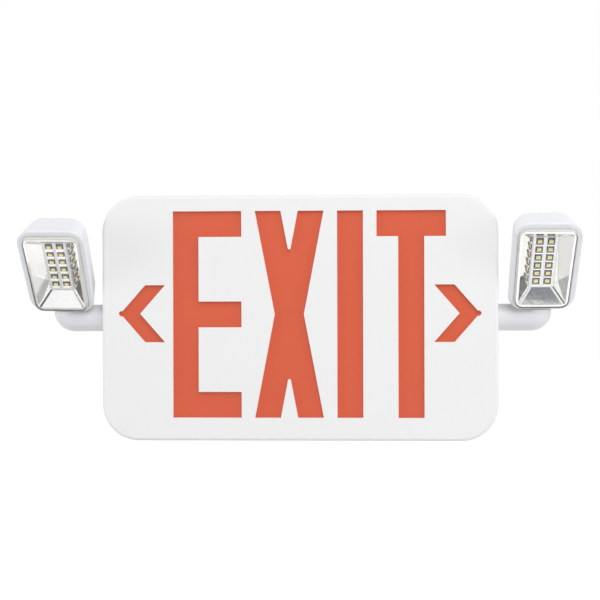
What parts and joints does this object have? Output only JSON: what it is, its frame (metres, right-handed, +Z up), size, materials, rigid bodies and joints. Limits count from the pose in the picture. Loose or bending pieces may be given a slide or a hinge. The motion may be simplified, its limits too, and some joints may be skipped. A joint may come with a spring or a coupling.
{
  "type": "emergency exit light",
  "caption": "Wall-mounted exit sign with a stencilled legend and chevrons, a red panel behind it, and a swivelling lamp head on an elbow arm at each side.",
  "frame": {"origin": "centre of the wire entry hole, in the plane of the wall", "axes": "+X to the right as one faces the sign, -Y out of the wall to the front, +Z up"},
  "size_m": [0.4116, 0.0756, 0.181],
  "materials": {
    "body_white": "moulded white ABS with a faint satin",
    "legend_red": "translucent red sheet, unlit",
    "tray_white": "bright white",
    "board_white": "white solder mask",
    "lamp_package": "lamp with a yellow phosphor",
    "battery_wrap": "plain blue shrink wrap",
    "steel": "zinc plated",
    "circuit_green": "green solder mask",
    "transformer_steel": "varnished laminations",
    "capacitor_sleeve": "dark sleeve",
    "black_plastic": "black moulding",
    "connector_plastic": "green moulding",
    "status_red": "clear red",
    "button_white": "moulded",
    "arm_white": "moulded white ABS",
    "washer_nylon": "natural nylon",
    "shell_white": "moulded white ABS, slightly glossy",
    "reflector_chrome": "bright metallised plastic",
    "lens_clear": "clear polycarbonate"
  },
  "bodies": {
    "housing_body": {"front_cover": "body_white", "legend_panel": "legend_red", "light_tray": "tray_white", "top_lamp_strip": "board_white", "bottom_lamp_strip": "board_white", "top_strip_lamps": "lamp_package", "bottom_strip_lamps": "lamp_package", "housing": "body_white", "back_plate": "body_white", "battery_pack": "battery_wrap", "battery_strap": "steel", "charger_board": "circuit_green", "transformer": "transformer_steel", "capacitors": "capacitor_sleeve", "relay": "black_plastic", "wire_connector": "connector_plastic", "test_switch": "black_plastic", "status_light": "status_red", "board_screws": "steel", "strap_screws": "steel"},
    "button_body": {"test_button": "button_white"},
    "left_arm_body": {"left_arm": "arm_white", "left_arm_washer": "washer_nylon", "left_arm_clip": "steel", "left_neck_washer": "washer_nylon", "left_neck_clip": "steel"},
    "left_head_body": {"left_head_shell": "shell_white", "left_reflector": "reflector_chrome", "left_lamp_board": "board_white", "left_lamps": "lamp_package", "left_lamp_screws": "steel", "left_lens": "lens_clear"},
    "right_arm_body": {"right_arm": "arm_white", "right_arm_washer": "washer_nylon", "right_arm_clip": "steel", "right_neck_washer": "washer_nylon", "right_neck_clip": "steel"},
    "right_head_body": {"right_head_shell": "shell_white", "right_reflector": "reflector_chrome", "right_lamp_board": "board_white", "right_lamps": "lamp_package", "right_lamp_screws": "steel", "right_lens": "lens_clear"}
  },
  "joints": [
    {"name": "test_button_push", "type": "slide", "parent": "housing_body", "child": "button_body", "axis": [0, 0, 1], "range_m": [0, 0.0025], "stiffness_N_per_m": 300, "springref_m": -0.001},
    {"name": "left_arm_swivel", "type": "hinge", "parent": "housing_body", "child": "left_arm_body", "pos_m": [-0.1761, -0.023, 0], "axis": [1, 0, 0], "range_deg": [-32, 83]},
    {"name": "left_head_swivel", "type": "hinge", "parent": "left_arm_body", "child": "left_head_body", "pos_m": [-0.1761, -0.023, 0], "axis": [0, -0.1219, 0.9925], "range_deg": [-74, 6]},
    {"name": "right_arm_swivel", "type": "hinge", "parent": "housing_body", "child": "right_arm_body", "pos_m": [0.1761, -0.023, 0], "axis": [1, 0, 0], "range_deg": [-27, 88]},
    {"name": "right_head_swivel", "type": "hinge", "parent": "right_arm_body", "child": "right_head_body", "pos_m": [0.1761, -0.023, 0], "axis": [0, -0.0349, 0.9994], "range_deg": [-7, 73]}
  ]
}
